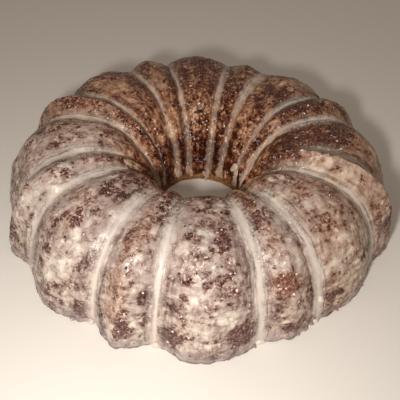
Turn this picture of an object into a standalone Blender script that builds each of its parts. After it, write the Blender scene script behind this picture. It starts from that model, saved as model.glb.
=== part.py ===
"""A whole bundt cake: a ring of eight broad lobes and eight narrow ridges round a funnel-shaped hole.

Metres, +Z up. The cake stands on the plane z = 0, with the origin under the middle of its
outline. A broad lobe faces each of -Y, +X, +Y and -X, and the front of the cake is -Y.
"""

from math import cos, hypot, pi, radians, sin

import bpy

# Driving dimensions, in metres. A valley is the line where two neighbouring lobes meet.
VALLEY_BASE_RADIUS = 0.1190   # from the axis to the foot of a valley, on the outside
CROWN_RADIUS = 0.0755         # from the axis to the highest point of a valley
VALLEY_HEIGHT = 0.0538        # height of a valley at the crown
HOLE_RADIUS = 0.0272          # the round edge of the hole, on the base
HOLE_SHIFT = -0.0076          # the foot of the hole sits this far towards the front

# How the outside and the inside wall curve between foot and crown. An exponent of 1 gives a
# quarter of an ellipse, less than 1 a fuller curve and more than 1 a hollower one.
OUTSIDE_RADIUS_POWER = 0.80
OUTSIDE_HEIGHT_POWER = 1.03
INSIDE_RADIUS_POWER = 0.74
INSIDE_HEIGHT_POWER = 1.62
FUNNEL_POWER = 1.5            # how late the hole's shift sets in on the way down

# The lobes. A lift is how far a lobe's middle line stands out of the valley surface, at five
# places: outer foot, outer shoulder, crown, inner shoulder and the foot of the hole.
LOBE_PAIRS = 8                # each pair is one broad lobe and one narrow ridge
BROAD_ANGLE = radians(27.2)
BROAD_LIFT = (0.0074, 0.0070, 0.0042, 0.0048, 0.0)
NARROW_LIFT = (0.0065, 0.0081, 0.0054, 0.0064, 0.0)
BROAD_ROUNDNESS = 1.45        # 2 is a round section, 1 is a roof with straight sides
NARROW_ROUNDNESS = 1.10

# The cake is uneven. These are added to the lifts of the sixteen lobes, counter-clockwise from
# the broad lobe at the front: once on the outside wall and once over the crown.
LOBE_REACH = (0.0025, -0.0015, -0.0030, 0.0010, 0.0010, -0.0020, 0.0005, -0.0030,
              -0.0005, -0.0015, 0.0, 0.0010, 0.0015, 0.0025, 0.0015, 0.0035)
LOBE_RISE = (-0.0020, -0.0025, 0.0020, 0.0040, -0.0025, 0.0005, -0.0015, -0.0015,
             0.0010, 0.0015, 0.0015, 0.0020, 0.0, -0.0020, 0.0005, -0.0035)
REACH_SHARE = (1.0, 0.75, 0.2, 0.0, 0.0)
RISE_SHARE = (0.0, 0.5, 1.0, 0.5, 0.0)

# Mesh resolution.
BROAD_STEPS = 12              # facets across a broad lobe
NARROW_STEPS = 8              # facets across a narrow ridge
WALL_STEPS = 26               # facets from the outer foot over the crown to the hole's foot
RING_STEPS = LOBE_PAIRS * (BROAD_STEPS + NARROW_STEPS)
BASE_STEPS = 2                # facets back along the base, from the hole's foot to the outer foot
SECTION_STEPS = WALL_STEPS + BASE_STEPS
SLOPE_STEP = 0.05             # how far to each side of a place the valley's slope is read
SHARP_ANGLE = radians(50)     # edges sharper than this stay crisp: the base edge and the valleys

CRUST_COLOUR = (0.150, 0.072, 0.045, 1.0)


def between(knots, place):
    """The value of evenly spaced knots at place 0..1, eased from one knot to the next."""
    position = place * (len(knots) - 1)
    first = min(int(position), len(knots) - 2)
    ease = 0.5 - 0.5 * cos(pi * (position - first))
    return knots[first] + (knots[first + 1] - knots[first]) * ease


def valley_section(place):
    """Radius and height of the valley line at place 0 (outer foot) .. 1 (foot of the hole)."""
    angle = pi * place
    across = abs(cos(angle))
    if place <= 0.5:
        radius = CROWN_RADIUS + (VALLEY_BASE_RADIUS - CROWN_RADIUS) * across ** OUTSIDE_RADIUS_POWER
        height = VALLEY_HEIGHT * abs(sin(angle)) ** OUTSIDE_HEIGHT_POWER
    else:
        radius = CROWN_RADIUS - (CROWN_RADIUS - HOLE_RADIUS) * across ** INSIDE_RADIUS_POWER
        height = VALLEY_HEIGHT * abs(sin(angle)) ** INSIDE_HEIGHT_POWER
    return radius, height


def outward(place):
    """The direction in which a lobe stands out of the valley surface, as radial and vertical."""
    before = valley_section(max(place - SLOPE_STEP, 0.0))
    after = valley_section(min(place + SLOPE_STEP, 1.0))
    radial = after[1] - before[1]
    vertical = before[0] - after[0]
    length = hypot(radial, vertical)
    return radial / length, vertical / length


def lobe_at(ring):
    """The lobe under ring line number ring: its number, the angle round the cake and -1..1 across."""
    pair, step = divmod(ring, BROAD_STEPS + NARROW_STEPS)
    pair_angle = 2 * pi / LOBE_PAIRS
    middle = pair * pair_angle - pi / 2
    if step < BROAD_STEPS:
        across = 2 * step / BROAD_STEPS - 1
        return 2 * pair, middle + across * BROAD_ANGLE / 2, across
    across = 2 * (step - BROAD_STEPS) / NARROW_STEPS - 1
    return 2 * pair + 1, middle + pair_angle / 2 + across * (pair_angle - BROAD_ANGLE) / 2, across


def surface_point(ring, place):
    """The point of the cake's surface on ring line number ring, at place 0..1 along the section."""
    lobe, angle, across = lobe_at(ring)
    broad = lobe % 2 == 0
    roundness = BROAD_ROUNDNESS if broad else NARROW_ROUNDNESS
    lift = between(BROAD_LIFT if broad else NARROW_LIFT, place)
    lift += LOBE_REACH[lobe] * between(REACH_SHARE, place)
    lift += LOBE_RISE[lobe] * between(RISE_SHARE, place)
    lift *= (1 - abs(across) ** roundness) ** (1 / roundness)
    radius, height = valley_section(place)
    radial, vertical = outward(place)
    radius += lift * radial
    height = max(height + lift * vertical, 0.0) if 0 < place < 1 else 0.0
    shift = HOLE_SHIFT * max(2 * place - 1, 0.0) ** FUNNEL_POWER
    return radius * cos(angle), radius * sin(angle) + shift, height


def section_point(ring, step):
    """The point at step number step of a section: over the cake first, then back along the base."""
    if step <= WALL_STEPS:
        return surface_point(ring, step / WALL_STEPS)
    inner = surface_point(ring, 1.0)
    outer = surface_point(ring, 0.0)
    share = (step - WALL_STEPS) / BASE_STEPS
    return tuple(a + (b - a) * share for a, b in zip(inner, outer))


def centre_on_origin(mesh):
    """Moves the mesh sideways so that the middle of its outline lies on the axis."""
    for axis in (0, 1):
        values = [vertex.co[axis] for vertex in mesh.vertices]
        middle = (min(values) + max(values)) / 2
        for vertex in mesh.vertices:
            vertex.co[axis] -= middle


def crust_material():
    material = bpy.data.materials.new("glazed_crust")
    material.use_nodes = True
    shader = material.node_tree.nodes["Principled BSDF"]
    shader.inputs["Base Color"].default_value = CRUST_COLOUR
    shader.inputs["Roughness"].default_value = 0.45
    shader.inputs["Metallic"].default_value = 0.0
    return material


def make_cake():
    """A torus whose sections are pulled onto the cake's lobed surface and its flat base."""
    bpy.ops.mesh.primitive_torus_add(major_segments=RING_STEPS, minor_segments=SECTION_STEPS,
                                     major_radius=CROWN_RADIUS, minor_radius=VALLEY_HEIGHT / 2)
    cake = bpy.context.object
    cake.name = "bundt_cake"
    for vertex in cake.data.vertices:
        ring, step = divmod(vertex.index, SECTION_STEPS)
        vertex.co = section_point(ring, step)
    centre_on_origin(cake.data)
    cake.data.shade_smooth()
    cake.data.set_sharp_from_angle(angle=SHARP_ANGLE)
    cake.data.materials.append(crust_material())
    return cake


def main():
    for thing in list(bpy.data.objects):
        bpy.data.objects.remove(thing)
    collection = bpy.data.collections.new("bundt_cake")
    bpy.context.scene.collection.children.link(collection)
    cake = make_cake()
    for home in list(cake.users_collection):
        home.objects.unlink(cake)
    collection.objects.link(cake)


main()
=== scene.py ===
# %% [markdown]
# # A glazed bundt cake
#
# A bundt cake is baked upside down in a ring tin with fluted sides. Turned out, it is a ring of
# broad lobes and narrow ridges round a funnel-shaped hole. This one has a very dark brown crust
# under a thin sugar glaze. The glaze is poured warm: it runs off the high parts, leaves bare
# patches and pores, and settles in the valleys between the lobes as smooth cream bands.
#
# The script loads a plain solid of the cake, which is kept for its size and for collision. It then
# makes the crust, the glaze and the crumbs that are shown in place of that solid.

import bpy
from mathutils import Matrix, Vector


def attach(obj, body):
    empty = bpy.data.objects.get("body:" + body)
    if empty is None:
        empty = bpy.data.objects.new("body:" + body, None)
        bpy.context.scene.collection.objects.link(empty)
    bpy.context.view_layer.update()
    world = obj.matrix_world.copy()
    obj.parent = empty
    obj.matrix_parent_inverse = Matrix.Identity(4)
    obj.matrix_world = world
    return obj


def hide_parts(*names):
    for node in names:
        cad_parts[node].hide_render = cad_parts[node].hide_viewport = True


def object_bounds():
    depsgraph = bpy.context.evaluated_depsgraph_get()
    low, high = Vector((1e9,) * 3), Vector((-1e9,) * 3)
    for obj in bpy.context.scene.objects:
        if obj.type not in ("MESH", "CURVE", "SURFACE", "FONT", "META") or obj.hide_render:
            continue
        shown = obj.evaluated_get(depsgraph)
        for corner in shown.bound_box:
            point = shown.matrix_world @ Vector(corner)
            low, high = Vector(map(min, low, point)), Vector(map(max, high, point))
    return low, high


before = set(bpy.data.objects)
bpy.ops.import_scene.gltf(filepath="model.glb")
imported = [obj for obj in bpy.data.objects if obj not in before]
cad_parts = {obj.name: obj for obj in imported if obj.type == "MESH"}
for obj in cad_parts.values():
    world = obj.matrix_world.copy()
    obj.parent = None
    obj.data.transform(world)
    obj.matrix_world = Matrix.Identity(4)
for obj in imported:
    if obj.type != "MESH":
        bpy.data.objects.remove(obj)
solid_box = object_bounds()
print("plain solid, in metres:", [round(size, 4) for size in solid_box[1] - solid_box[0]])

# %% [markdown]
# ## Where the cake is seen from
#
# The camera is close, about 39 cm from the cake's centre, and looks down at some 43 degrees. So the
# front lobes look much larger than the back ones. The position is built from the moves of a person
# who holds a camera: walk round the cake a little, look down, then correct the aim by a degree or
# less and tilt the camera sideways.

# %% Camera
from math import atan2, cos, pi, radians, sin

import bpy
from mathutils import Matrix, Vector

CAMERA_DISTANCE = 0.3856
CAMERA_ELEVATION = radians(42.64)
CAMERA_HEADING = radians(-3.27)
CAMERA_SIDESTEP = -0.0019
AIM_SIDEWAYS = radians(0.34)
AIM_DOWN = radians(0.18)
CAMERA_ROLL = radians(-2.27)
LENS = 50.28
NEAREST_SHOWN = 0.01
OUTLINE_MIDDLE = Vector((-0.00025, -0.0015, 0.0))   # the uneven outline's middle, moved to x = y = 0


def aim_camera():
    """A camera object, placed by its distance, its elevation and small corrections of its aim."""
    camera = bpy.data.objects.new("camera", bpy.data.cameras.new("camera"))
    camera.data.lens = LENS
    camera.data.clip_start = NEAREST_SHOWN
    bpy.context.scene.collection.objects.link(camera)
    place = Vector((CAMERA_SIDESTEP, -CAMERA_DISTANCE * cos(CAMERA_ELEVATION),
                    CAMERA_DISTANCE * sin(CAMERA_ELEVATION)))
    look = Matrix.Rotation(pi / 2 - CAMERA_ELEVATION, 4, "X")
    correct = (Matrix.Rotation(-AIM_SIDEWAYS, 4, "Y") @ Matrix.Rotation(-AIM_DOWN, 4, "X")
               @ Matrix.Rotation(-CAMERA_ROLL, 4, "Z"))
    walk = Matrix.Translation(-OUTLINE_MIDDLE) @ Matrix.Rotation(CAMERA_HEADING, 4, "Z")
    camera.matrix_world = walk @ Matrix.Translation(place) @ look @ correct
    bpy.context.scene.camera = camera
    return camera


camera = aim_camera()
print("camera at", [round(value, 4) for value in camera.matrix_world.translation])

# %% [markdown]
# ## Table top and light
#
# A pale, warm, plain floor throws some light back up under the lobes. The main light is a soft panel
# close to the camera, a little to its left. Being near, it lights the front of the cake much more
# than the back, and its reflection makes the small bright sparks on the moist glaze. A large dim
# panel overhead and a pale surround keep the sides and the back readable.

# %% Floor, lights and surround
KEY = {"size": 0.032, "power": 1.05, "colour": (1.0, 0.98, 0.95),
       "position": (-0.07, -0.30, 0.235), "target": (0.0, 0.0, 0.02)}
FILL = {"size": 1.2, "power": 1.3, "colour": (1.0, 0.97, 0.93),
        "position": (0.1, 0.5, 1.3), "target": (0.0, 0.0, 0.0)}
SURROUND_COLOUR = (1.0, 0.85, 0.70, 1.0)
SURROUND_STRENGTH = 0.20
FLOOR_SIZE = 6.0
FLOOR_COLOUR = (0.86, 0.80, 0.73, 1.0)
FLOOR_ROUGHNESS = 0.7


def lay_floor():
    """A plain floor, large enough to reach past the edge of every view."""
    bpy.ops.mesh.primitive_plane_add(size=FLOOR_SIZE)
    floor = bpy.context.object
    floor.name = "floor"
    material = bpy.data.materials.new("pale_floor")
    material.use_nodes = True
    shader = material.node_tree.nodes["Principled BSDF"]
    shader.inputs["Base Color"].default_value = FLOOR_COLOUR
    shader.inputs["Roughness"].default_value = FLOOR_ROUGHNESS
    floor.data.materials.append(material)


def hang_panel(name, size, power, colour, position, target):
    """A square light panel at a position, facing a target."""
    light = bpy.data.lights.new(name, "AREA")
    light.size = size
    light.energy = power
    light.color = colour
    panel = bpy.data.objects.new(name, light)
    facing = (Vector(target) - Vector(position)).to_track_quat("-Z", "Y")
    panel.matrix_world = Matrix.Translation(position) @ facing.to_matrix().to_4x4()
    panel.visible_camera = False
    bpy.context.scene.collection.objects.link(panel)


lay_floor()
hang_panel("key", **KEY)
hang_panel("fill", **FILL)
surround = bpy.data.worlds.new("surround")
surround.use_nodes = True
background = surround.node_tree.nodes["Background"]
background.inputs["Color"].default_value = SURROUND_COLOUR
background.inputs["Strength"].default_value = SURROUND_STRENGTH
bpy.context.scene.world = surround
bpy.context.scene.view_settings.view_transform = "Standard"
print("floor, 2 light panels and a pale surround")

# %% [markdown]
# ## A small language for nodes
#
# Geometry Nodes and materials are both trees of nodes. Wiring them by hand takes three lines for
# each plus sign, so two small classes come first. A Wire is one output of a node, and it can be
# added, multiplied or compared like a number: each operation adds a Math node, and a comparison
# gives 1 or 0. A Bench adds any other kind of node: its settings first, then the values or wires for
# its sockets.

# %% Wires
OPERATORS = {"add": "ADD", "radd": "ADD", "mul": "MULTIPLY", "rmul": "MULTIPLY", "sub": "SUBTRACT",
             "truediv": "DIVIDE", "pow": "POWER", "gt": "GREATER_THAN", "lt": "LESS_THAN"}
SWAPPED = {"rsub": "SUBTRACT", "rtruediv": "DIVIDE"}        # where the number comes first


class Wire:
    """One output of a node, which takes part in arithmetic like a number."""

    def __init__(self, bench, socket):
        self.bench = bench
        self.socket = socket

    def __abs__(self):
        return self.bench.math("ABSOLUTE", self)

    def also(self, name):
        """Another output of the node that this wire comes from."""
        return Wire(self.bench, self.socket.node.outputs[name])


def teach(name, operation, swapped):
    """Gives Wire one of Python's operators."""
    def work(wire, other):
        return wire.bench.math(operation, *((other, wire) if swapped else (wire, other)))
    setattr(Wire, f"__{name}__", work)


for operators in (OPERATORS, SWAPPED):
    for name, operation in operators.items():
        teach(name, operation, operators is SWAPPED)
print("a wire knows", len(OPERATORS) + len(SWAPPED), "operators and abs")

# %% Benches
from functools import reduce

MM = 0.001


class Bench:
    """Adds nodes to one tree, either of a material or of Geometry Nodes."""

    COLUMNS = 16            # nodes side by side before the next row starts
    NODE_WIDTH, NODE_HEIGHT = 190, 230
    SEED_WAY = (0.017, -0.023, 0.009)       # metres that a pattern moves for one step of its seed

    def __init__(self, tree):
        self.tree = tree

    def feed(self, node, name, value):
        """Gives one socket of a node a wire, several wires or a plain value."""
        if isinstance(name, int):
            socket = node.inputs[name]
        else:
            socket = next(item for item in node.inputs if item.name == name and item.enabled)
        for one in value if isinstance(value, list) else [value]:
            if isinstance(one, Wire):
                self.tree.links.new(one.socket, socket)
            else:
                socket.default_value = one

    def add(self, kind, settings=None, sockets=None, out=None):
        """Adds a node and returns its output named out, or else its first output in use."""
        node = self.tree.nodes.new(kind)
        count = len(self.tree.nodes)
        node.location = (count % self.COLUMNS * self.NODE_WIDTH,
                         -(count // self.COLUMNS) * self.NODE_HEIGHT)
        for name, value in (settings or {}).items():
            setattr(node, name, value)
        for name, value in (sockets or {}).items():
            self.feed(node, name, value)
        if out is None:
            return Wire(self, next(socket for socket in node.outputs if socket.enabled))
        return Wire(self, node.outputs[out])

    def math(self, operation, *values):
        return self.add("ShaderNodeMath", {"operation": operation}, dict(enumerate(values)))

    def most(self, *values):
        """The largest of several values."""
        return reduce(lambda first, second: self.math("MAXIMUM", first, second), values)

    def vector(self, operation, *values):
        out = "Value" if operation == "LENGTH" else "Vector"
        return self.add("ShaderNodeVectorMath", {"operation": operation}, dict(enumerate(values)), out)

    def scaled(self, way, length):
        """A vector, lengthened by a number."""
        return self.add("ShaderNodeVectorMath", {"operation": "SCALE"},
                        {0: way, "Scale": length}, "Vector")

    def xyz(self, x, y, z):
        return self.add("ShaderNodeCombineXYZ", {}, {0: x, 1: y, 2: z})

    def apart(self, vector):
        """The x, y and z of a vector."""
        parts = self.add("ShaderNodeSeparateXYZ", {}, {0: vector}, "X")
        return parts, parts.also("Y"), parts.also("Z")

    def smooth(self, value, low, high, start=0.0, end=1.0):
        """Eases from start to end as the value goes from low to high, and stays there."""
        return self.add("ShaderNodeMapRange", {"interpolation_type": "SMOOTHSTEP"},
                        {0: value, 1: low, 2: high, 3: start, 4: end})

    def blend(self, share, first, second):
        """The first number where share is 0 and the second where it is 1."""
        return first + (second - first) * share

    def elsewhere(self, where, seed):
        """A place moved far off, so that patterns with different seeds have nothing in common."""
        return self.vector("ADD", where, tuple(seed * part for part in self.SEED_WAY))

    def noise(self, where, size, seed, detail=2, roughness=0.6):
        """Soft random bumps about size mm wide, seldom outside -1 to 1."""
        value = self.add("ShaderNodeTexNoise", {}, {
            "Vector": self.elsewhere(where, seed), "Scale": 0.5 / (size * MM), "Detail": detail,
            "Roughness": roughness})
        return value * 4 - 2

    def swirl(self, where, size, reach, seed):
        """A place moved about by up to reach mm, which curls the edges of the next pattern."""
        bumps = self.add("ShaderNodeTexNoise", {}, {
            "Vector": self.elsewhere(where, seed), "Scale": 0.5 / (size * MM), "Detail": 1}, "Color")
        return self.vector("ADD", where, self.scaled(self.centred(bumps), 4 * (reach * MM)))

    def centred(self, colour):
        """A random colour as a vector that points any way."""
        return self.vector("SUBTRACT", colour, (0.5, 0.5, 0.5))

    def cells(self, where, spacing, feature="F1"):
        """Distance to the nearest of scattered points, spacing mm apart, or to a cell's edge."""
        return self.add("ShaderNodeTexVoronoi", {"feature": feature},
                        {"Vector": where, "Scale": 1 / (spacing * MM)}, "Distance")

    def ramp(self, value, stops):
        """A colour that goes through evenly spaced stops as the value goes from 0 to 1."""
        colour = self.add("ShaderNodeValToRGB", {}, {"Fac": value}, "Color")
        elements = colour.socket.node.color_ramp.elements
        elements[0].color = (*stops[0], 1.0)
        elements[-1].color = (*stops[-1], 1.0)
        for number, stop in enumerate(stops[1:-1], start=1):
            elements.new(number / (len(stops) - 1)).color = (*stop, 1.0)
        return colour


print("nodes can now be written as arithmetic")


# %% Trees of Geometry Nodes
def new_tree(name, sizes, result="Geometry"):
    """An empty Geometry Nodes tree with one result and a named input for each size."""
    tree = bpy.data.node_groups.new(name, "GeometryNodeTree")
    tree.interface.new_socket(result, in_out="OUTPUT", socket_type="NodeSocket" + result)
    for size_name, value in sizes.items():
        kind = "NodeSocketBool" if isinstance(value, bool) else "NodeSocketFloat"
        tree.interface.new_socket(size_name, in_out="INPUT", socket_type=kind)
    bench = Bench(tree)
    inlet = tree.nodes.new("NodeGroupInput")
    return bench, {size_name: Wire(bench, inlet.outputs[size_name]) for size_name in sizes}


def end_tree(b, result):
    """Makes a wire the result of its tree."""
    b.tree.links.new(result.socket, b.tree.nodes.new("NodeGroupOutput").inputs[0])


print("a tree has named inputs and one result")

# %% [markdown]
# ## The lobed form
#
# The crust and the glaze follow the same form, so one function writes it into both trees. It starts
# from a flat grid: across the grid runs the turn round the cake, and up the grid runs a section,
# from the outer foot over the crown to the foot of the hole and back along the base. A place on the
# section runs from 0 at the outer foot to 1 at the foot of the hole. A valley is the line between
# two lobes, and a lift is how far a lobe stands out of the valley surface. Two arcs and a few lifts
# describe the whole cake, which is why a rule makes it better than sculpting by hand.

# %% Sizes of the form
SIZES = {
    "Valley base radius": 0.1190,
    "Crown radius": 0.0755,
    "Valley height": 0.0538,
    "Hole radius": 0.0272,
    "Hole shift": -0.0076,
    "Glaze fill": 0.00135,      # how deep the glaze lies in a valley outside
    "Skin inset": 0.0009,       # how far the crust lies inside the plain solid
    "Glaze body": False,        # whether the tree makes the body of glaze or the crust
}
LOBE_PAIRS = 8
BROAD_DEGREES = 27.2
PAIR_DEGREES = 360 / LOBE_PAIRS
NARROW_DEGREES = PAIR_DEGREES - BROAD_DEGREES
BROAD_STEPS = 48
NARROW_STEPS = 32
RING_STEPS = LOBE_PAIRS * (BROAD_STEPS + NARROW_STEPS)
WALL_STEPS = 148
BASE_STEPS = 6
SECTION_STEPS = WALL_STEPS + BASE_STEPS
SECTION_LENGTH = 0.165
FLOW_RADIUS = 0.1               # of the cylinder on which streaks and ripples are laid out
FILL_RADIUS = 0.11              # of another one, for the uneven depth of the glaze in the valleys

OUTSIDE_RADIUS_POWER = 0.80
OUTSIDE_HEIGHT_POWER = 1.03
INSIDE_RADIUS_POWER = 0.74
INSIDE_HEIGHT_POWER = 1.62
FUNNEL_POWER = 1.5
SLOPE_STEP = 0.05
EVEN_SPACING = 0.25             # spreads the grid's points evenly over the crown

BROAD_LIFT = (0.0074, 0.0070, 0.0042, 0.0048, 0.0)
NARROW_LIFT = (0.0065, 0.0081, 0.0054, 0.0064, 0.0)
BROAD_ROUNDNESS = 1.45
NARROW_ROUNDNESS = 1.10
LOBE_REACH = (0.0025, -0.0015, -0.0030, 0.0010, 0.0010, -0.0020, 0.0005, -0.0030,
              -0.0005, -0.0015, 0.0, 0.0010, 0.0015, 0.0025, 0.0015, 0.0035)
LOBE_RISE = (-0.0020, -0.0025, 0.0020, 0.0040, -0.0025, 0.0005, -0.0015, -0.0015,
             0.0010, 0.0015, 0.0015, 0.0020, 0.0, -0.0020, 0.0005, -0.0035)
REACH_SHARE = (1.0, 0.75, 0.2, 0.0, 0.0)
RISE_SHARE = (0.0, 0.5, 1.0, 0.5, 0.0)
SOFT_EDGE = 0.9 * MM            # how softly the glaze in a valley meets the lobes
FILL_SHARE = (1.0, 1.0, 0.80, 0.95, 0.0)
DEGREE = pi / 180
VALLEY_REACH = 8.0              # degrees to either side
HAIR = 0.0001                   # less than one step of the grid
SAME_POINT = 0.01 * MM          # points closer than this are made one

print("lobes:", LOBE_PAIRS, "broad of", BROAD_DEGREES, "degrees and as many narrow of",
      round(NARROW_DEGREES, 1))
print("grid:", RING_STEPS, "by", SECTION_STEPS)


# %% Which lobe a point of the grid is on
def between(b, knots, place):
    """Evenly spaced knots, eased from one to the next."""
    gap = 1 / (len(knots) - 1)
    value = knots[0]
    for number, (low, high) in enumerate(zip(knots, knots[1:])):
        if high != low:
            value = value + b.smooth(place, number * gap, (number + 1) * gap, 0.0, high - low)
    return value


def pick(b, number, values):
    """The value with that number in a row of values."""
    chosen = b.add("GeometryNodeIndexSwitch", {"data_type": "FLOAT"}, {"Index": number}, "Output")
    node = chosen.socket.node
    while len(node.index_switch_items) < len(values):
        node.index_switch_items.new()
    for slot_number, value in enumerate(values):
        b.feed(node, slot_number + 1, value)
    return chosen


def find_lobe(b, u):
    """A point's turn from the front and its lobe's half width, both in degrees; then how far across
    its lobe it is, from -1 to 1, whether the lobe is narrow, and the lobe's number."""
    pairs = u * LOBE_PAIRS
    pair = b.math("FLOOR", b.math("MINIMUM", pairs, LOBE_PAIRS - HAIR))
    share = pairs - pair
    broad_share = BROAD_STEPS / (BROAD_STEPS + NARROW_STEPS)
    narrow = share > broad_share + HAIR
    across = b.blend(narrow, share * (2 / broad_share) - 1,
                     (share - broad_share) * (2 / (1 - broad_share)) - 1)
    half = b.blend(narrow, BROAD_DEGREES / 2, NARROW_DEGREES / 2)
    turn = pair * PAIR_DEGREES + narrow * (PAIR_DEGREES / 2) + across * half
    return turn, half, across, narrow, pair * 2 + narrow


print("half a broad lobe and half a narrow one, in degrees:", BROAD_DEGREES / 2,
      round(NARROW_DEGREES / 2, 1))


# %% Where a point of the grid is on the cake
def valley_section(b, size, place):
    """Radius and height of the valley line at a place."""
    turn = place * pi
    across = abs(b.math("COSINE", turn))
    rise = abs(b.math("SINE", turn))
    inside = place > 0.5
    crown = size["Crown radius"]
    outer = crown + (size["Valley base radius"] - crown) * across ** OUTSIDE_RADIUS_POWER
    inner = crown - (crown - size["Hole radius"]) * across ** INSIDE_RADIUS_POWER
    power = b.blend(inside, OUTSIDE_HEIGHT_POWER, INSIDE_HEIGHT_POWER)
    return b.blend(inside, outer, inner), size["Valley height"] * rise ** power


def place_point(b, size, turn, place, lift):
    """The point that stands out of the valley surface by lift, and the way it stands out."""
    before = valley_section(b, size, b.most(place - SLOPE_STEP, 0.0))
    after = valley_section(b, size, b.math("MINIMUM", place + SLOPE_STEP, 1.0))
    way = b.vector("NORMALIZE", b.xyz(after[1] - before[1], 0.0, before[0] - after[0]))
    radial, _, vertical = b.apart(way)
    radius, height = valley_section(b, size, place)
    on_wall = (place > HAIR) * (place < 1 - HAIR)
    radius = radius + lift * radial
    height = b.most(height + lift * vertical, 0.0) * on_wall
    shift = size["Hole shift"] * b.most(place * 2 - 1, 0.0) ** FUNNEL_POWER
    angle = turn * DEGREE - pi / 2
    east, north = b.math("COSINE", angle), b.math("SINE", angle)
    point = b.xyz(radius * east - OUTLINE_MIDDLE.x, radius * north + shift - OUTLINE_MIDDLE.y, height)
    return point, b.xyz(radial * east, radial * north, vertical)


def on_circle(b, turn, radius, height):
    """A point at a turn on a circle round the cake's axis."""
    angle = turn * DEGREE
    return b.xyz(b.math("COSINE", angle) * radius, b.math("SINE", angle) * radius, height)


def from_axis(b, where):
    """How far a point is from the cake's axis."""
    x, y, _ = b.apart(where)
    return b.vector("LENGTH", b.xyz(x, y, 0.0))


print("a valley's radius at the foot and in the hole, and its height, in mm:", *(
    round(SIZES[name] / MM, 1) for name in ("Valley base radius", "Hole radius", "Valley height")))


# %% How far the lobes and the glaze stand out
def lobe_lift(b, place, across, narrow, lobe):
    """How far the crust stands out of the valley surface."""
    lift = b.blend(narrow, between(b, BROAD_LIFT, place), between(b, NARROW_LIFT, place))
    lift = lift + pick(b, lobe, LOBE_REACH) * between(b, REACH_SHARE, place)
    lift = lift + pick(b, lobe, LOBE_RISE) * between(b, RISE_SHARE, place)
    roundness = b.blend(narrow, BROAD_ROUNDNESS, NARROW_ROUNDNESS)
    return lift * b.most(1 - abs(across) ** roundness, 0.0) ** (1 / roundness)


def glaze_fill(b, size, turn, place):
    """How deep the glaze lies in a valley. The one left of the front lobe has none in the hole."""
    deep = between(b, FILL_SHARE, place) * size["Glaze fill"]
    around = on_circle(b, turn, FILL_RADIUS, place * SECTION_LENGTH)
    ragged = b.noise(around, 4, 5) * b.smooth(place, 0.5, 0.75, 0.12, 0.40)
    valley = BROAD_DEGREES / 2
    front_left = b.most(abs(turn - (360 - valley)) < VALLEY_REACH, turn < VALLEY_REACH - valley)
    deep = deep * (1 - front_left * b.smooth(place, 0.46, 0.53))
    return deep * (1 + 0.16 * b.noise(around, 16, 3, 1) + ragged)


print("glaze in a valley:", round(SIZES["Glaze fill"] / MM, 2), "mm deep")


# %% A function that writes the lobed form
def store(b, mesh, values, kind="FLOAT"):
    """Keeps named values on every point, so that later nodes and the material can read them."""
    for name, value in values.items():
        mesh = b.add("GeometryNodeStoreNamedAttribute", {"data_type": kind},
                     {"Geometry": mesh, "Name": name, "Value": value})
    return mesh


def kept(b, name, kind="FLOAT"):
    """A value that was kept on every point."""
    return b.add("GeometryNodeInputNamedAttribute", {"data_type": kind}, {"Name": name}, "Attribute")


def move(b, mesh, **how):
    """The mesh with every point at a new Position, or moved by an Offset."""
    return b.add("GeometryNodeSetPosition", {}, {"Geometry": mesh, **how})


def merge(b, mesh, distance):
    """The mesh with points that lie closer than a distance made one."""
    return b.add("GeometryNodeMergeByDistance", {}, {"Geometry": mesh, "Distance": distance})


def lay_form(b, size):
    """The closed lobed mesh, with its turn, place and glaze depth kept on every point."""
    grid = b.add("GeometryNodeMeshGrid", {}, {
        "Size X": 1.0, "Size Y": 1.0, "Vertices X": RING_STEPS + 1, "Vertices Y": SECTION_STEPS + 1})
    x, y, _ = b.apart(b.add("GeometryNodeInputPosition"))
    turn, half, across, narrow, lobe = find_lobe(b, x + 0.5)
    step = (y + 0.5) * SECTION_STEPS
    along = b.math("MINIMUM", step / WALL_STEPS, 1.0) * 2 - 1
    place = b.math("MINIMUM", along * abs(along) ** EVEN_SPACING * 0.5 + 0.5, 1.0)
    base = b.most((step - WALL_STEPS) / BASE_STEPS, 0.0)

    lift = lobe_lift(b, place, across, narrow, lobe)
    fill = glaze_fill(b, size, turn, place)
    raised = b.math("SMOOTH_MAX", lift, fill, SOFT_EDGE)
    wall, way = place_point(b, size, turn, place, lift)
    foot, _ = place_point(b, size, turn, 0.0, lobe_lift(b, 0.0, across, narrow, lobe))
    point = b.add("ShaderNodeMix", {"data_type": "VECTOR"},
                  {"Factor": base, "A": wall, "B": foot}, "Result")

    side = abs(across)
    mesh = store(b, grid, {
        "turn": turn, "place": b.blend(b.math("MINIMUM", base, 1.0), place, 0.0),
        "under": b.smooth(base, 0.0, 0.02) * b.smooth(base, 1.0, 0.98),
        "depth": b.most(raised - lift, 0.0) * (base < HAIR), "lift": lift / MM, "side": side,
        "from valley": (1 - side) * (half * DEGREE) * from_axis(b, wall) / MM})
    flow = on_circle(b, turn, FLOW_RADIUS, place * SECTION_LENGTH)
    mesh = store(b, mesh, {"flow": flow, "way": way}, "FLOAT_VECTOR")
    return merge(b, move(b, mesh, Position=point), SAME_POINT)


print("the form is written")
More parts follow.
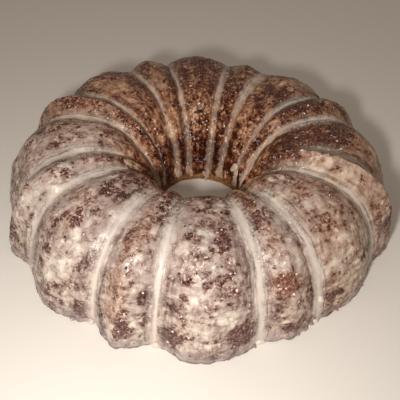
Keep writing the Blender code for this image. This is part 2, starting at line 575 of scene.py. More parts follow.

# %% [markdown]
# ## Crust, pores and glaze film
#
# Batter takes the tin's shape only roughly. The crust has slow waves, shallow dents, a fine grain,
# open pores where bubbles burst, an uneven rim, fine creases low on the wall and a few wrinkles
# where the front lobes dip into the hole. The poured glaze is a film of a few tenths of a millimetre
# which thins out on the high parts and pulls back from the pores. It is cheap to describe both by
# noise at their real sizes. What can be pointed at on the cake is placed one by one, each patch by
# its turn from the front, its place on the section and its size: bare crust, thick creamy spots,
# thicker and thinner film, wrinkles, wet spots that glint, partly through painted glint dots, and
# warmer brown spots.

# %% Listed patches
# turn in degrees, place in percent, half width across and half length along in mm, and strength in
# tenths
BARE_PATCHES = (
    (-9.5, 8.5, 7, 5.5, 10), (8.5, 9.2, 9, 6, 10), (339.5, 8, 6.5, 6, 8), (326, 7, 5, 7, 8),
    (22, 7, 7, 4, 8), (15.5, 8, 3, 3, 9), (344, 12, 2.4, 4, 10), (4.5, 42, 4.5, 7, 7),
    (36, 10, 7, 3.5, 9), (18, 52, 5, 13, 6), (21, 24, 8.5, 6, 6), (315, 35.5, 6, 6.5, 7),
    (292, 12, 9, 9, 7), (117, 45, 9, 8, 7), (99, 40, 8, 6, 5), (-6.8, 23.5, 2.2, 2.2, 12),
    (0.5, 38.5, 1.8, 2.2, 10), (-6.8, 43, 1.8, 2.6, 10), (297, 25, 1.6, 2, 10),
    (299, 22.5, 1.8, 2.4, 10), (335, 40, 2.6, 5, 7), (137, 52, 3, 4, 6), (130, 51, 3, 3, 9),
    (126, 52.5, 3, 3, 9), (90, 45, 9, 5, 5), (88, 59, 8, 5, 5), (277, 45, 5, 5, 5),
    (297, 43.5, 4, 2.6, 7), (111, 45.8, 4, 3.5, 7),
)
CREAM_PATCHES = (
    (-2, 45, 4, 3, 7), (315, 32, 4, 3, 8), (320, 32, 4, 3, 7), (-9, 39, 4, 4.5, 7),
    (342, 15, 2.6, 8, 8), (-10.5, 16, 4, 4, 8), (299, 39, 6, 9, 5.5), (295, 30, 7, 10, 4.5),
    (59, 45, 5, 4, 9), (3, 20, 5, 3, 5), (24, 33, 5, 5, 5), (63, 42.5, 4, 3.5, 6), (33.7, 51, 3, 3, 9),
    (92.3, 73.3, 2.2, 2.6, 8), (63, 49.5, 4.5, 3.5, 5), (108, 53.3, 4, 3.6, 5),
)
THICKER_PATCHES = (
    (227, 47, 11, 9, 9), (225, 58, 7, 8, 6), (277, 42, 7, 8, 6), (268, 49, 6, 6, 6),
    (297, 25, 9, 10, 10), (313, 36, 10, 6, 8), (319, 26, 10, 10, 10), (317, 17.5, 12, 8, 8),
    (324, 10, 7, 7, 9), (340, 20, 6, 7, 8), (342, 15, 6, 6, 9), (339, 10, 6, 3, 5), (-7, 22.5, 7, 6, 7),
    (2, 33, 6, 5, 9), (-2, 31, 6, 5, 7), (2, 14, 8, 6, 10), (7, 15.8, 8, 5, 9), (-4.5, 6, 6, 5, 9),
    (20, 46.7, 4, 7, 6), (20, 37.5, 5, 8, 7), (20, 29, 5, 8, 7), (38, 47.5, 6, 8, 8),
    (40.5, 56, 5, 6, 5), (63, 50, 5, 4, 8), (40, 25, 10, 9, 9), (38, 11, 9, 7, 8), (63, 28, 8, 8, 6),
    (47, 31, 8, 8, 6), (20, 8.3, 9, 4, 8), (141, 65, 7, 9, 6), (192, 66, 10, 12, 9),
    (207, 69, 9, 12, 9), (234, 69, 6, 8, 7), (239, 57.5, 5, 9, 7), (231, 45, 6, 8, 5),
    (206, 56, 6, 8, 7), (126, 70, 8, 9, 8), (128, 75.5, 6, 6, 6), (108, 54, 4, 4, 7), (60, 40, 9, 7, 7),
    (78, 30, 7, 9, 5), (34, 35, 6, 5, 5), (33, 22, 8, 7, 7), (38, 10, 5, 4, 4), (20, 30.5, 5, 6, 7),
    (16, 36, 4, 5, 6), (17.5, 49, 3, 5, 7), (-9, 23, 5, 7, 9), (331, 44, 7, 9, 8), (342, 41, 3.5, 6, 6),
    (326, 26, 4, 10, 5), (295, 19, 6, 7, 6), (279, 31, 5, 5, 6), (11, 32.5, 3, 8, 7), (69, 45, 8, 4, 6),
    (108, 61.7, 4, 4, 7), (110, 49, 4, 3, 6), (135, 48.3, 2.5, 5, 9), (280, 49, 5, 4, 6),
    (273, 53, 4, 4, 6),
)
THINNER_PATCHES = (
    (317, 51, 8, 8, 8), (324, 54, 7, 8, 8), (184, 50, 20, 20, 6), (95, 55, 16, 16, 10),
    (97, 49, 14, 10, 9), (90, 61, 10, 10, 8), (61, 44, 8, 6, 7), (9, 46, 5, 10, 4.5),
    (6.8, 63, 6, 8, 6), (342, 67, 6, 8, 5), (27, 22.5, 5, 8, 7), (4.5, 27.5, 7, 6, 6), (0, 20, 7, 4, 5),
    (324, 2, 8, 5, 8), (119, 50, 9, 12, 6), (180, 83, 16, 9, 6), (220, 80, 12, 8, 5),
    (148, 83, 12, 9, 5), (1, 62, 14, 6, 8), (62, 60, 8, 10, 8), (104, 50, 14, 7, 8), (7, 21, 5, 5, 5),
    (340, 61, 8, 6, 4), (90, 47, 14, 12, 10), (113, 52, 10, 12, 13), (247, 46, 9, 13, 6),
    (277, 56, 9, 6, 5),
)
WRINKLE_PATCHES = ((-4, 57.5, 9, 9, 10), (341, 57, 9, 8, 8), (8, 56, 8, 8, 7))
# where the glaze glints: these patches open the grain, tilt the facets, lower the roughness and gather
# pale dots painted as glints
GLINT_PATCHES = (
    (188, 69, 12, 14, 10), (207, 70, 6, 10, 7), (250, 44, 5, 5, 8), (292, 43, 5, 5, 6),
    (-4.5, 33.5, 6, 9, 10), (16, 32.5, 5, 6, 10), (16, 45, 4, 8, 8), (126, 70, 9, 10, 7),
    (162, 70, 12, 12, 5), (241, 49, 4, 4, 8), (299, 37.5, 5, 4, 6),
)
WARM_PATCHES = (
    (21, 23.5, 10, 8, 12), (20, 40, 5, 14, 6), (18, 54, 6, 12, 9), (336, 20, 7, 18, 10),
    (337, 42, 7, 18, 9), (311, 43, 9, 7, 10), (315, 35, 7, 8, 7), (305, 30, 4, 8, 5),
    (291, 53, 8, 9, 8), (294, 38, 6, 8, 4), (47, 50, 16, 5, 7), (40, 33, 6, 6, 3), (64, 56, 7, 12, 7),
    (77, 6, 9, 8, 7), (270, 44, 8, 7, 5), (248, 46, 7, 10, 7), (246, 60, 6, 10, 7), (228, 50, 12, 9, 5),
    (4, 47, 6, 8, 5), (-6, 33, 6, 6, 3), (90, 52, 12, 6, 5),
)

print("patches of bare crust:", len(BARE_PATCHES), "and of cream:", len(CREAM_PATCHES))


# %% Nodes for a patch
def patch_group():
    """A group of nodes that is used once for each patch."""
    names = ("Sideways", "Lengthways", "Half across", "Half along", "Strength", "So far")
    b, given = new_tree("patch", dict.fromkeys(names, 0.0), "Float")
    away = b.vector("LENGTH", b.xyz(given["Sideways"] / given["Half across"],
                                    given["Lengthways"] / given["Half along"], 0.0))
    end_tree(b, b.most(b.smooth(away, 1.25, 0.65) * given["Strength"], given["So far"]))
    return b.tree


def patches(b, rows, turn, place, radius, warp):
    """One where a listed patch is, with an uneven outline, and zero elsewhere."""
    group = bpy.data.node_groups.get("patch") or patch_group()
    total = 0.0
    lengthways = place * (SECTION_LENGTH / MM) + warp[1]
    for degrees_round, percent, half_across, half_along, tenths in rows:
        sideways = (turn - degrees_round) * radius * (DEGREE / MM) + warp[0]
        total = b.add("GeometryNodeGroup", {"node_tree": group}, {
            "Sideways": sideways, "Lengthways": lengthways - percent / 100 * SECTION_LENGTH / MM,
            "Half across": half_across, "Half along": half_along, "Strength": tenths / 10,
            "So far": total}, "Float")
    return total


print("each patch is a group of nodes with 6 inputs")

# %% Relief of the crust
# spacing and largest radius in mm, and how far the pattern is moved in metres
PORES = ((9.0, 2.1, (0.273, 0.147, -0.231)), (5.5, 1.2, (0.286, 0.154, -0.242)))
LEVEL = (0.28, 0.28, 1.0)       # stretches a pattern round the cake


def crease_lines(b, flow):
    """One along the fine creases between the blobs of glaze low on the wall, and zero elsewhere."""
    level = b.swirl(b.vector("MULTIPLY", flow, (0.72, 0.72, 1.0)), 6, 2.2, 58)
    edge = b.cells(level, 3.3, "DISTANCE_TO_EDGE")
    return b.smooth(edge, 0.26, 0.0) * b.smooth(b.noise(level, 5, 59, 1), -0.35, 0.25)


def crust_relief(b, where, turn, place, radius):
    """How far the crust stands off the smooth form, and how deep a pore or a wrinkle is."""
    waves = 0.60 * MM * b.noise(where, 26, 11, 1)
    dents = 0.80 * MM * b.noise(where, 8, 12)
    grain = 0.36 * MM * b.noise(where, 2.8, 13)
    pore_depth = 0.0
    for spacing, largest, moved in PORES:
        cell = b.cells(b.vector("ADD", where, moved), spacing)
        chance, size, _ = b.apart(cell.also("Color"))
        reach = (0.45 + 0.55 * size) * (largest / spacing)
        pore = b.smooth(cell / reach, 1.1, 0.35) * (chance > 0.55)
        pore_depth = b.most(pore_depth, pore * (0.35 + 0.65 * size))
    flow = kept(b, "flow", "FLOAT_VECTOR")
    level = b.vector("MULTIPLY", flow, LEVEL)
    bend = 2.0 * b.noise(where, 9, 14)
    folded = patches(b, WRINKLE_PATCHES, turn, place, radius, (bend, bend))
    wrinkle = b.smooth(abs(b.noise(level, 3.4, 15)), 0.13, 0.01) * folded
    low_wall = b.smooth(place, 0.36, 0.22)
    ripples = 0.20 * b.noise(level, 2.3, 16) - 0.38 * crease_lines(b, flow)
    rim = 0.9 * MM * b.noise(where, 4.5, 17) * b.smooth(place, 0.06, 0.0)
    relief = waves + dents + grain + ripples * MM * low_wall + rim
    return relief, b.most(pore_depth, 0.8 * wrinkle)


print("pores lie", " and ".join(str(spacing) for spacing, _, _ in PORES), "mm apart")

# %% Thickness of the film
FILM_THICKNESS = 0.14           # in mm, before the noise and the patches
THICKEST_TURN = 335             # degrees to the side where it is a little thicker


def film_thickness(b, where, turn, place, radius, pore):
    """Thickness of the film in mm, bare below zero, and the cream, warm and glinting patches."""
    warp = [1.8 * b.noise(where, 5, seed) for seed in (31, 32)]

    def found(rows):
        return patches(b, rows, turn, place, radius, warp)

    thick_side = b.math("COSINE", (turn - THICKEST_TURN) * DEGREE)
    in_hole = b.smooth(place, 0.50, 0.80)
    flow = b.vector("MULTIPLY", kept(b, "flow", "FLOAT_VECTOR"), (1.0, 1.0, 0.3))
    back = b.smooth(b.apart(where)[1], -0.03, 0.07)
    sides = b.smooth(kept(b, "side"), 0.35, 0.85) * (1 - in_hole)
    film = FILM_THICKNESS + 0.02 * thick_side - 0.06 * in_hole - 0.05 * back + 0.03 * sides
    film = film + 0.09 * b.noise(where, 11, 33) + 0.13 * b.noise(where, 3.6, 34)
    film = film + 0.11 * b.noise(flow, 2.6, 35)
    bare, cream = found(BARE_PATCHES), found(CREAM_PATCHES)
    film = film + 0.13 * found(THICKER_PATCHES)
    film = film - 0.15 * found(THINNER_PATCHES)
    film = film - 0.30 * bare + 0.20 * cream - 0.24 * pore
    film = film + b.smooth(place, 0.035, 0.0, 0.0, 0.12)
    return film, cream, found(WARM_PATCHES), found(GLINT_PATCHES)


print("the film is about", FILM_THICKNESS, "mm thick")

# %% The surface of the crust, and the body of glaze on it
PORE_DEPTH = 0.8 * MM
CRUMB_FROM, CRUMB_FULL = 0.928, 0.938       # places near the foot of the hole
COAT_FROM = 0.33                # a film thicker than this, in mm, is a body and not only a look
SUNK = 0.45 * MM                # how far that body reaches into the crust


def finish_surface(b, size, mesh):
    """Gives the smooth form its relief, and lays the glaze on it: returns the crust and the glaze."""
    where = b.add("GeometryNodeInputPosition")
    turn, place, under, depth = (kept(b, name) for name in ("turn", "place", "under", "depth"))
    radius = from_axis(b, where)
    height, pore = crust_relief(b, where, turn, place, radius)
    film, cream, warm, glint = film_thickness(b, where, turn, place, radius, pore)
    crumb = b.smooth(place + 0.010 * b.noise(where, 3, 41), CRUMB_FROM, CRUMB_FULL)
    crumb = b.most(crumb, under)
    open_wall = 1 - under
    mesh = store(b, mesh, {"film": film * (1 - crumb), "cream": cream, "warm": warm, "crumb": crumb,
                           "glint": glint, "pore": pore, "height": height})
    film, pore, height = (kept(b, name) for name in ("film", "pore", "height"))
    full = depth / MM + film
    normal = b.add("GeometryNodeInputNormal")
    bottom = b.scaled(normal, ((height - PORE_DEPTH * pore) - size["Skin inset"]) * open_wall)
    crust = move(b, mesh, Offset=bottom)
    return crust, glaze_body(b, size, mesh, normal, full, height, depth, bottom, open_wall)


def glaze_body(b, size, mesh, normal, full, height, depth, bottom, open_wall):
    """A closed body where the glaze is thick: its top stands on the crust, its bottom is sunk in."""
    rough = b.smooth(full, 0.35, 0.9, 1.0, 0.0)
    top = height * rough + (full - COAT_FROM) * MM - depth - size["Skin inset"]
    top = b.vector("ADD", b.scaled(normal, top * open_wall),
                   b.scaled(kept(b, "way", "FLOAT_VECTOR"), depth))
    sunk = b.vector("ADD", bottom, b.scaled(normal, -SUNK))
    mesh = store(b, mesh, {"rise": b.vector("SUBTRACT", top, sunk)}, "FLOAT_VECTOR")
    mesh = store(b, mesh, {"thick": (full > COAT_FROM) * open_wall})
    mesh = b.add("GeometryNodeDeleteGeometry", {"domain": "FACE"},
                 {"Geometry": move(b, mesh, Offset=sunk), "Selection": kept(b, "thick") < 0.01})
    raised = b.add("GeometryNodeExtrudeMesh", {"mode": "FACES"}, {
        "Mesh": mesh, "Offset": kept(b, "rise", "FLOAT_VECTOR"), "Individual": False}, "Mesh")
    turned = b.add("GeometryNodeFlipFaces", {}, {"Mesh": mesh})
    shell = b.add("GeometryNodeJoinGeometry", {}, {"Geometry": [raised, turned]})
    return merge(b, shell, SAME_POINT / 2)


def keep_in_box(b, mesh):
    """Keeps every point inside the plain solid's box."""
    low, high = solid_box
    inside = b.vector("MAXIMUM", b.add("GeometryNodeInputPosition"), tuple(low))
    return move(b, mesh, Position=b.vector("MINIMUM", inside, tuple(high)))


print("the glaze has a body where its film is over", COAT_FROM, "mm thick")


# %% From a tree to a piece
def covered(b, mesh, material):
    """The mesh with its material."""
    return b.add("GeometryNodeSetMaterial", {}, {"Geometry": mesh, "Material": material})


def close_tree(b, mesh):
    """Ends a tree with real geometry and smooth shading, inside the plain solid's box."""
    mesh = b.add("GeometryNodeRealizeInstances", {}, {"Geometry": keep_in_box(b, mesh)})
    end_tree(b, b.add("GeometryNodeSetShadeSmooth", {}, {"Geometry": mesh, "Shade Smooth": True}))


def grow(name, b, sizes):
    """Runs a tree once and keeps its result as a plain mesh."""
    seedling = bpy.data.objects.new(name + "_tree", bpy.data.meshes.new(name + "_tree"))
    bpy.context.scene.collection.objects.link(seedling)
    modifier = seedling.modifiers.new("nodes", "NODES")
    modifier.node_group = b.tree
    for socket in b.tree.interface.items_tree:
        if socket.in_out == "INPUT":
            modifier[socket.identifier] = sizes[socket.name]
    grown = seedling.evaluated_get(bpy.context.evaluated_depsgraph_get())
    mesh = bpy.data.meshes.new_from_object(grown)
    bpy.data.objects.remove(seedling)
    mesh.name = name
    piece = bpy.data.objects.new(name, mesh)
    bpy.context.scene.collection.objects.link(piece)
    print(name, "has", sum(len(face.vertices) - 2 for face in mesh.polygons), "triangles")
    return piece


print("a piece is a tree's result, kept as a plain mesh")

# %% [markdown]
# ## Crust, film and glaze finishes
#
# Seen close, the glaze film is not even. Sugar lies in the hollows of the grain and the crust's high
# grains poke through it, so the surface is speckled cream and brown at about one millimetre. Both
# finishes share one rule. The thicker the film, the more of its cream covers the brown, as with any
# thin milky layer: its thickness was kept on every point of the mesh, and drops, clots, pits, pinholes
# and fine noise are added to it here. That cover picks a colour from a row of colours. There are
# three rows: one for a closed film, one for open grain, and a darker one for the hole.
#
# Then come the places where the colour changes: butter-yellow drops, copper spots, colour made
# browner towards the back, the right and in the hole, a foot greyed by painted shade and a painted
# reflection of the floor, the cream of the glaze that lies in the valleys with its soft edge, the
# bare golden crumb at the foot of the hole, and pale dots that are partly sugar grains and partly
# painted glints. Everything is moist, so the finish is fairly glossy. Small facets tilt the shine
# where the film is open, which breaks it into sparks.

# %% Colours
# each row of colours runs from bare crust to thick glaze
VEILED = ((0.07, 0.032, 0.026), (0.14, 0.082, 0.066), (0.245, 0.168, 0.14),
          (0.355, 0.26, 0.222), (0.47, 0.368, 0.32), (0.60, 0.495, 0.438), (0.75, 0.655, 0.575))
GRAINY = ((0.055, 0.019, 0.014), (0.12, 0.05, 0.037), (0.215, 0.11, 0.082),
          (0.345, 0.213, 0.167), (0.50, 0.355, 0.292), (0.66, 0.515, 0.43), (0.81, 0.69, 0.59))
DARKER = ((0.031, 0.004, 0.001), (0.08, 0.017, 0.005), (0.148, 0.048, 0.02),
          (0.258, 0.118, 0.062), (0.42, 0.245, 0.152), (0.60, 0.40, 0.28), (0.80, 0.60, 0.455))
CRUST_DARK = (0.07, 0.026, 0.024, 1.0)
CRUST_RED = (0.37, 0.205, 0.168, 1.0)
BAND_CREAM = (0.69, 0.595, 0.515, 1.0)
FAR_CREAM = (0.66, 0.49, 0.365, 1.0)
# painted shade and a painted reflection of the pale floor, greying the glaze skirt at the foot
FOOT_SHADE_AND_REFLECTION = (0.30, 0.24, 0.25, 1.0)
BUTTER = (0.80, 0.69, 0.45, 1.0)
COPPER = (0.29, 0.115, 0.064, 1.0)
CRUMB_DARK = (0.11, 0.04, 0.01, 1.0)
CRUMB_GOLD = (0.40, 0.18, 0.036, 1.0)
BROWNED = (0.95, 0.70, 0.51, 1.0)     # what the colour keeps of red, green and blue where it is made browner
# pale dots, partly sugar grains and partly painted glints
SUGAR_AND_GLINT_WHITE = (0.94, 0.81, 0.65, 1.0)


def tint(b, share, first, second, blend="MIX"):
    """The first colour where share is 0 and the second, or the two mixed by blend, where it is 1."""
    return b.add("ShaderNodeMix", {"data_type": "RGBA", "blend_type": blend},
                 {"Factor": share, "A": first, "B": second}, "Result")


print("three rows of", len(VEILED), "colours from bare crust to thick glaze")

# %% What a finish knows about a point
from types import SimpleNamespace


def read(b, name, kind="Fac"):
    """A value that Geometry Nodes kept on the mesh."""
    return b.add("ShaderNodeAttribute", {"attribute_name": name}, {}, kind)


def survey(b):
    """What the finish knows about a point: what the mesh keeps there, its zone, and noise."""
    at = SimpleNamespace(where=b.add("ShaderNodeTexCoord", {}, {}, "Object"))
    for name in ("film", "depth", "lift", "side", "place", "cream", "warm", "crumb", "glint",
                 "from valley"):
        setattr(at, name.replace(" ", "_"), read(b, name))
    at.right, at.rear, _ = b.apart(at.where)
    at.in_hole = b.smooth(at.place, 0.50, 0.72)
    at.low_wall = b.smooth(at.place, 0.33, 0.22)
    at.back = b.most(b.smooth(at.rear, -0.04, 0.05), b.smooth(at.rear + 0.6 * at.right, 0.0, 0.05))
    at.sides = b.smooth(at.side, 0.40, 0.75) * (1 - 0.6 * at.in_hole)
    at.curled = b.swirl(at.where, 2, 0.6, 50)
    at.slow = b.noise(at.where, 9, 51)
    at.blots = b.noise(at.curled, 2.4, 52, 3, 0.65)
    at.grains = b.noise(at.curled, 0.7, 53, 2, 0.7)
    flow = read(b, "flow", "Vector")
    at.streaks = b.noise(b.vector("MULTIPLY", flow, (1.0, 1.0, 0.13)), 1.2, 54)
    at.ripples = b.noise(b.vector("MULTIPLY", flow, LEVEL), 2.3, 56)
    at.creases = crease_lines(b, flow)
    return at


print("a point knows its film, its zone and its noise")


# %% Small marks, glaze in the valleys, and cover
def find_marks(b, at):
    """Adds the small marks in the glaze: pits, clots, drops and pinholes."""
    islands = b.noise(at.curled, 1.6, 55, 3, 0.65) + 0.25 * at.slow
    at.pits = b.smooth(islands, -0.26, -0.38)
    at.clots = b.smooth(islands, 0.24, 0.40)
    drop = b.cells(b.swirl(at.where, 5, 1.3, 57), 5.2)
    chance, size, _ = b.apart(drop.also("Color"))
    at.drops = b.smooth(drop / (0.16 + 0.34 * size) + 0.25 * at.blots, 1.25, 0.45) * (chance < 0.6)
    hole = b.cells(at.curled, 3.0)
    chance, size, _ = b.apart(hole.also("Color"))
    at.pinhole = b.smooth(hole / (0.14 + 0.22 * size), 1.2, 0.8) * (chance < 0.25)


def find_valley_glaze(b, at):
    """Adds the band of glaze in each valley, and the soft halo beside it with the runs in the hole."""
    depth = at.depth / MM
    halo = b.smooth(at.lift + 0.8 * at.blots, b.blend(at.in_hole, 4.0, 4.6), 0.2)
    halo = halo * b.smooth(depth, 0.0, 0.3)
    run = b.smooth(at.from_valley + 1.1 * at.blots + 0.8 * at.slow,
                   b.blend(at.in_hole, 3.0, 2.3), b.blend(at.in_hole, 1.8, 1.3))
    run = run * b.most(b.smooth(at.place, 0.62, 0.76),
                       0.4 * b.smooth(at.rear, -0.05, 0.02) * b.smooth(at.place, 0.25, 0.35))
    run = run * b.smooth(at.place + 0.012 * at.blots + 0.012 * at.slow, 0.965, 0.94)
    beside = 0.7 * b.smooth(at.from_valley + 0.5 * at.blots, 5.2, 2.4)
    at.halo = b.most(halo, run, beside * (1 - at.in_hole) * (1 - at.back))
    ragged = at.blots * b.blend(at.in_hole, 0.14, 0.30)
    at.band = b.smooth(depth + ragged, 0.05, b.blend(at.in_hole, 1.35, 1.9))


def find_cover(b, at):
    """Adds where the film is open or missing, how much of its cream covers the crust, and painted light
    at the sides.
    """
    thickness = at.film + 0.11 * at.blots
    at.open_grain = b.most(b.smooth(thickness + 0.05 * at.slow, 0.20, 0.05), 0.75 * at.warm,
                           0.5 * at.glint)
    at.bare = b.smooth(thickness + 0.09 * at.grains, 0.03, -0.02)
    veiled = 1 - 0.55 * (1 - at.open_grain)
    cover = 0.47 + 1.6 * (thickness - 0.13)
    # the fine creases are darkened as painted shade in them, over their real relief
    cover = cover + at.low_wall * (0.16 * at.ripples - 0.22 * at.creases + 0.07)
    cover = cover - at.sides * (0.05 + 0.27 * b.smooth(at.streaks, -0.05, 0.65)) + 0.08 * at.warm
    cover = cover + at.grains * (0.07 + 0.40 * at.open_grain * (1 - 0.65 * at.in_hole))
    cover = cover + veiled * (0.16 * at.clots - 0.36 * at.pits) * (1 - 0.5 * at.sides)
    cover = cover + 0.25 * at.drops * (1 - 0.6 * at.sides)
    cover = cover + 0.10 * at.halo - 0.35 * at.pinhole * (1 - at.halo)
    # painted light: the cover is raised towards the left and the right, standing in for light thrown
    # onto the sides
    cover = cover + b.smooth(at.right, 0.04, 0.10, 0.0, 0.05)
    at.cover = cover + b.smooth(at.right, -0.04, -0.09, -0.01, 0.07)


print("marks: pits, clots, drops, pinholes, runs and bands")


# %% From cover to colour
def film_colour(b, at):
    """The colour of the crust under its film, before it browns."""
    speckle = tint(b, b.smooth(at.grains + 0.4 * at.blots, -0.5, 1.1), CRUST_DARK, CRUST_RED)
    colour = tint(b, at.open_grain * (1 - 0.6 * at.sides),
                  b.ramp(at.cover, VEILED), b.ramp(at.cover, GRAINY))
    colour = tint(b, at.bare * (1 - at.halo), colour, speckle)
    dark_cover = at.cover + 0.15 * at.blots - 0.12 * at.bare
    dark_cover = dark_cover - b.smooth(at.place, 0.74, 0.88, -0.09, 0.10)
    colour = tint(b, at.in_hole, colour, b.ramp(dark_cover, DARKER))
    buttery = b.most(at.cream, b.blend(at.low_wall, 0.5, 0.9) * at.drops + 0.35 * at.low_wall)
    buttery = buttery * b.smooth(at.cover + 0.1 * at.blots, 0.45, 0.85)
    colour = tint(b, buttery * 0.3, colour, BUTTER)
    colour = tint(b, at.warm * b.smooth(at.grains, -0.9, 0.9) * 0.7, colour, COPPER)
    # near the foot, up to half of the colour goes to painted shade with a painted reflection of the
    # floor
    return tint(b, b.smooth(at.place, 0.075, 0.0) * 0.5, colour, FOOT_SHADE_AND_REFLECTION)


def cake_colour(b, at):
    """The colour of film, valley glaze and bare crumb together, browner at the back and right."""
    brown = b.most(at.back, 0.85 * at.in_hole, b.smooth(at.right, 0.02, 0.08) * 0.8, 0.05)
    least = 0.50 + 0.45 * at.back * (1 - at.in_hole) - 0.30 * at.low_wall
    brown = brown * b.smooth(at.cover, 0.85, 0.40, least, 1.0)
    browned = tint(b, brown, film_colour(b, at), BROWNED, "MULTIPLY")
    far = b.most(b.smooth(at.rear, 0.02, 0.10), at.in_hole * b.smooth(at.rear, 0.0, 0.03))
    glazed = b.most(at.band, b.blend(at.in_hole, 0.5, 0.8) * at.halo) * b.blend(far, 1.0, 0.42)
    glaze_colour = tint(b, at.in_hole, BAND_CREAM, FAR_CREAM)
    glaze_colour = tint(b, 0.5 * at.cream, glaze_colour, BUTTER)
    colour = tint(b, glazed * (1 - at.cream) + at.cream * at.band, browned, glaze_colour)
    crumb_share = b.smooth(at.grains + 0.6 * at.blots, -0.9, 0.9)
    return tint(b, at.crumb, colour, tint(b, crumb_share, CRUMB_DARK, CRUMB_GOLD))


print("the cover picks the colour of film, valley glaze and crumb")

# %% The two finishes
# the tilted facets and the pale dots share one spacing
FACET_SPACING = 1.15            # in mm
PIT_DEPTH = 0.12 * MM
RIPPLE_HEIGHT = 0.08 * MM
GLAZE_IOR = 1.46


def cake_finish(name, grain_height, roughness):
    """Crust under a film, or the thick glaze itself, depending on what is kept on the mesh."""
    material = bpy.data.materials.new(name)
    material.use_nodes = True
    b = Bench(material.node_tree)
    shader = material.node_tree.nodes["Principled BSDF"]
    at = survey(b)
    find_marks(b, at)
    find_valley_glaze(b, at)
    find_cover(b, at)

    wet = b.most(at.open_grain, at.pinhole) * (1 - at.band)
    grain = b.cells(at.curled, FACET_SPACING)
    facet = grain.also("Color")
    chance, size, _ = b.apart(facet)
    # Pale dots in the base colour, partly sugar grains and partly painted glints, most of them in the
    # glint patches.
    sugar_and_glint_dots = chance < 0.02 + at.glint * b.blend(at.in_hole, 0.12, 0.22) - 0.010 * at.in_hole
    sugar_and_glint_dots = sugar_and_glint_dots * b.smooth(grain / (0.26 + 0.60 * size), 1.1, 0.7) * wet * (1 - at.crumb)
    b.feed(shader, "Base Color", tint(b, sugar_and_glint_dots, cake_colour(b, at), SUGAR_AND_GLINT_WHITE))
    moist = b.blend(wet, roughness + 0.16, roughness - 0.06 * at.glint)
    b.feed(shader, "Roughness", moist + 0.40 * at.crumb)

    low_hole = b.smooth(at.place, 0.72, 0.82)
    lean = b.blend(at.in_hole, 0.9, 0.75 - 0.25 * low_hole) + 0.9 * at.glint
    tilt = b.scaled(b.centred(facet), wet * lean + 0.1)
    smooth_normal = b.add("ShaderNodeNewGeometry", {}, {}, "Normal")
    faceted = b.vector("NORMALIZE", b.vector("ADD", smooth_normal, tilt))
    calm = (1 - 0.9 * at.band) * b.blend(wet, 0.6, 1.0)
    height = grain_height * calm * (at.grains + 0.5 * at.blots)
    height = height - PIT_DEPTH * b.most(at.pits, at.pinhole) * (1 - at.band)
    height = height + RIPPLE_HEIGHT * at.low_wall * at.ripples * (1 - at.band)
    b.feed(shader, "Normal", b.add("ShaderNodeBump", {}, {
        "Strength": 1.0, "Distance": 1.0, "Height": height, "Normal": faceted}))
    shader.inputs["IOR"].default_value = GLAZE_IOR
    return material


crust_material = cake_finish("glazed_crust", 0.10 * MM, 0.17)
glaze_material = cake_finish("poured_glaze", 0.07 * MM, 0.17)
print("finishes:", crust_material.name, glaze_material.name)

# %% Grow the crust and the glaze
bench, size = new_tree("cake_tree", SIZES)
crust_mesh, glaze_mesh = finish_surface(bench, size, lay_form(bench, size))
wanted = bench.add("GeometryNodeSwitch", {"input_type": "GEOMETRY"}, {
    "Switch": size["Glaze body"], "False": covered(bench, crust_mesh, crust_material),
    "True": covered(bench, glaze_mesh, glaze_material)})
close_tree(bench, wanted)
crust = grow("cake_crust", bench, SIZES)
glaze = grow("glaze_coat", bench, {**SIZES, "Glaze body": True})

# %% [markdown]
# ## Lumps of glaze and crumbs
#
# Where the glaze ran together it stands out in lumps: small pools at the feet of the valleys, thick
# ends of the runs in the hole, a buttery drop low in one valley, a clotted drop on the inner wall and
# a run over the bare crumb at the foot of the hole. A few crumbs of crust lie at the outer rim. Each
# lump is a ball that is pressed flat, set on the wall and made uneven. Lumps of one kind are one
# piece, because they are one material and are never told apart.

# %% Rows of lumps
# turn in degrees, place in percent, how far out in mm, the size round the cake, along the wall and
# out in mm, and the share of butter colour, if any
GLAZE_LUMPS = (
    (346.8, 1, 0.9, 5, 3.2, 3), (328.2, 1.2, 0.9, 4.6, 2.8, 3), (14, 1.2, 0.9, 5.4, 3, 3.2),
    (30.8, 1.4, 0.9, 5, 2.8, 3.4, 0.2), (32, 10.8, 0.7, 3.6, 4.4, 2.6, 0.4),
    (58.2, 1.2, 0.9, 4.6, 2.6, 3), (301.8, 1.2, 0.9, 5, 2.8, 3), (76.8, 1, 0.9, 4.4, 2.4, 2.8),
    (283.2, 1, 0.9, 4.6, 2.4, 2.8), (256.8, 1, 0.9, 4.4, 2.4, 2.6), (103.2, 1, 0.9, 4.6, 2.4, 2.6),
    (149, 1, 0.9, 4.4, 2.4, 2.6), (211, 1, 0.9, 4.4, 2.4, 2.6), (167.2, 92.5, 0.9, 3.4, 9, 2),
    (168.8, 96.5, 1.1, 1.9, 7, 1.5), (172.2, 93, 0.9, 2.6, 4, 1.6), (194.6, 90.5, 0.8, 4.4, 7, 1.6),
    (191, 93, 0.8, 2.8, 5, 1.5), (210.6, 91.5, 0.9, 4.6, 6, 1.9), (214.6, 89, 0.8, 2.6, 5, 1.5),
    (238.2, 83, 0.9, 4.8, 7, 2), (239.6, 89.5, 0.8, 3.4, 7, 1.6), (148, 88.5, 0.8, 4, 6, 1.6),
    (126, 84.2, 0.9, 5.4, 6, 2.6, 0.45), (122.8, 86.4, 0.8, 4.2, 4.6, 2, 0.2),
    (128.4, 85.6, 0.8, 3.4, 3.2, 2, 0.35),
)
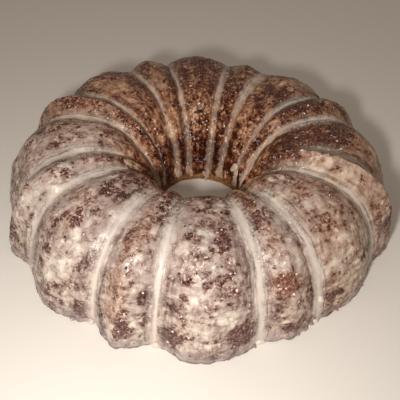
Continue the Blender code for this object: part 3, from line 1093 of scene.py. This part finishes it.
CRUMB_LUMPS = (
    (28.8, 2.2, 0.5, 2.6, 2.3, 2.6), (29.8, 3.4, 0.6, 1.7, 1.6, 1.9), (24, 1.2, 0.2, 1.2, 1, 1.4),
    (12, 1.4, 0.9, 1.3, 1.1, 1.8), (340, 1, 0.2, 1.5, 1.1, 1.3), (323.6, 1.2, 0.3, 4.4, 2, 2.4),
    (38, 1.2, 0.3, 1.2, 1.2, 1.4), (26.6, 1.2, 0.2, 3.2, 1.7, 2.2), (352, 1.2, 0.2, 1.5, 1, 1.4),
    (316, 1.4, 0.3, 2.5, 1.5, 1.8), (50, 1.2, 0.3, 1.6, 1.2, 1.6), (297, 1.4, 0.3, 1.8, 1.4, 1.6),
)
LUMP_SIZES = {"Unevenness": 0.0006, **{name: SIZES[name] for name in (
    "Valley base radius", "Crown radius", "Valley height", "Hole radius", "Hole shift", "Skin inset")}}


def lobe_of(turn):
    """How far across its lobe a turn is, whether the lobe is narrow, and the lobe's number."""
    pair, over = divmod((turn + BROAD_DEGREES / 2) % 360, PAIR_DEGREES)
    if over < BROAD_DEGREES:
        return over / BROAD_DEGREES * 2 - 1, 0.0, pair * 2
    return (over - BROAD_DEGREES) / NARROW_DEGREES * 2 - 1, 1.0, pair * 2 + 1


def grow_lumps(name, rows, kept_values, material):
    """One mesh of a pressed, uneven ball for each row, set on the cake's wall."""
    b, size = new_tree(name + "_tree", LUMP_SIZES)
    number = b.add("GeometryNodeInputIndex")
    rows = [(turn, percent / 100, *(*rest, 0)[:5], *lobe_of(turn)) for turn, percent, *rest in rows]
    turn, place, out, wide, long, high, cream, across, narrow, lobe = (
        pick(b, number, column) for column in zip(*rows))
    lift = lobe_lift(b, place, across, narrow, lobe) - size["Skin inset"]
    point, way = place_point(b, size, turn, place, lift)
    upright = b.add("FunctionNodeAlignRotationToVector", {"axis": "Z"}, {"Vector": way})
    turned = b.add("FunctionNodeAlignRotationToVector", {"axis": "X", "pivot_axis": "Z"},
                   {"Rotation": upright, "Vector": on_circle(b, turn, 1.0, 0.0)})
    spots = b.add("GeometryNodeMeshLine", {}, {"Count": len(rows)})
    spots = move(b, spots, Position=b.vector("ADD", point, b.scaled(way, out * MM)))
    spots = store(b, spots, {**kept_values, "place": place, "cream": cream})
    ball = b.add("GeometryNodeMeshIcoSphere", {}, {"Radius": 0.5 * MM, "Subdivisions": 4})
    lumps = b.add("GeometryNodeInstanceOnPoints", {}, {
        "Points": spots, "Instance": ball, "Rotation": turned, "Scale": b.xyz(wide, long, high)})
    lumps = b.add("GeometryNodeRealizeInstances", {}, {"Geometry": lumps})
    uneven = size["Unevenness"] * b.noise(b.add("GeometryNodeInputPosition"), 1.5, 71)
    lumps = move(b, lumps, Offset=b.scaled(b.add("GeometryNodeInputNormal"), uneven))
    close_tree(b, covered(b, lumps, material))
    return grow(name, b, LUMP_SIZES)


glaze_lumps = grow_lumps("glaze_lumps", GLAZE_LUMPS, {"depth": 3 * MM, "film": 0.1}, glaze_material)
crumbs = grow_lumps("loose_crumbs", CRUMB_LUMPS, {"lift": 9.0, "film": -0.1}, crust_material)

# %% [markdown]
# ## Attach the pieces
#
# Every piece rides on the cake's one body, and the crust stands for the plain solid.

# %% Ride and replace
for piece, slot in ((crust, "crust"), (glaze, "glaze"), (glaze_lumps, "glaze"), (crumbs, "crust")):
    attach(piece, "root")
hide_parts("bundt_cake")
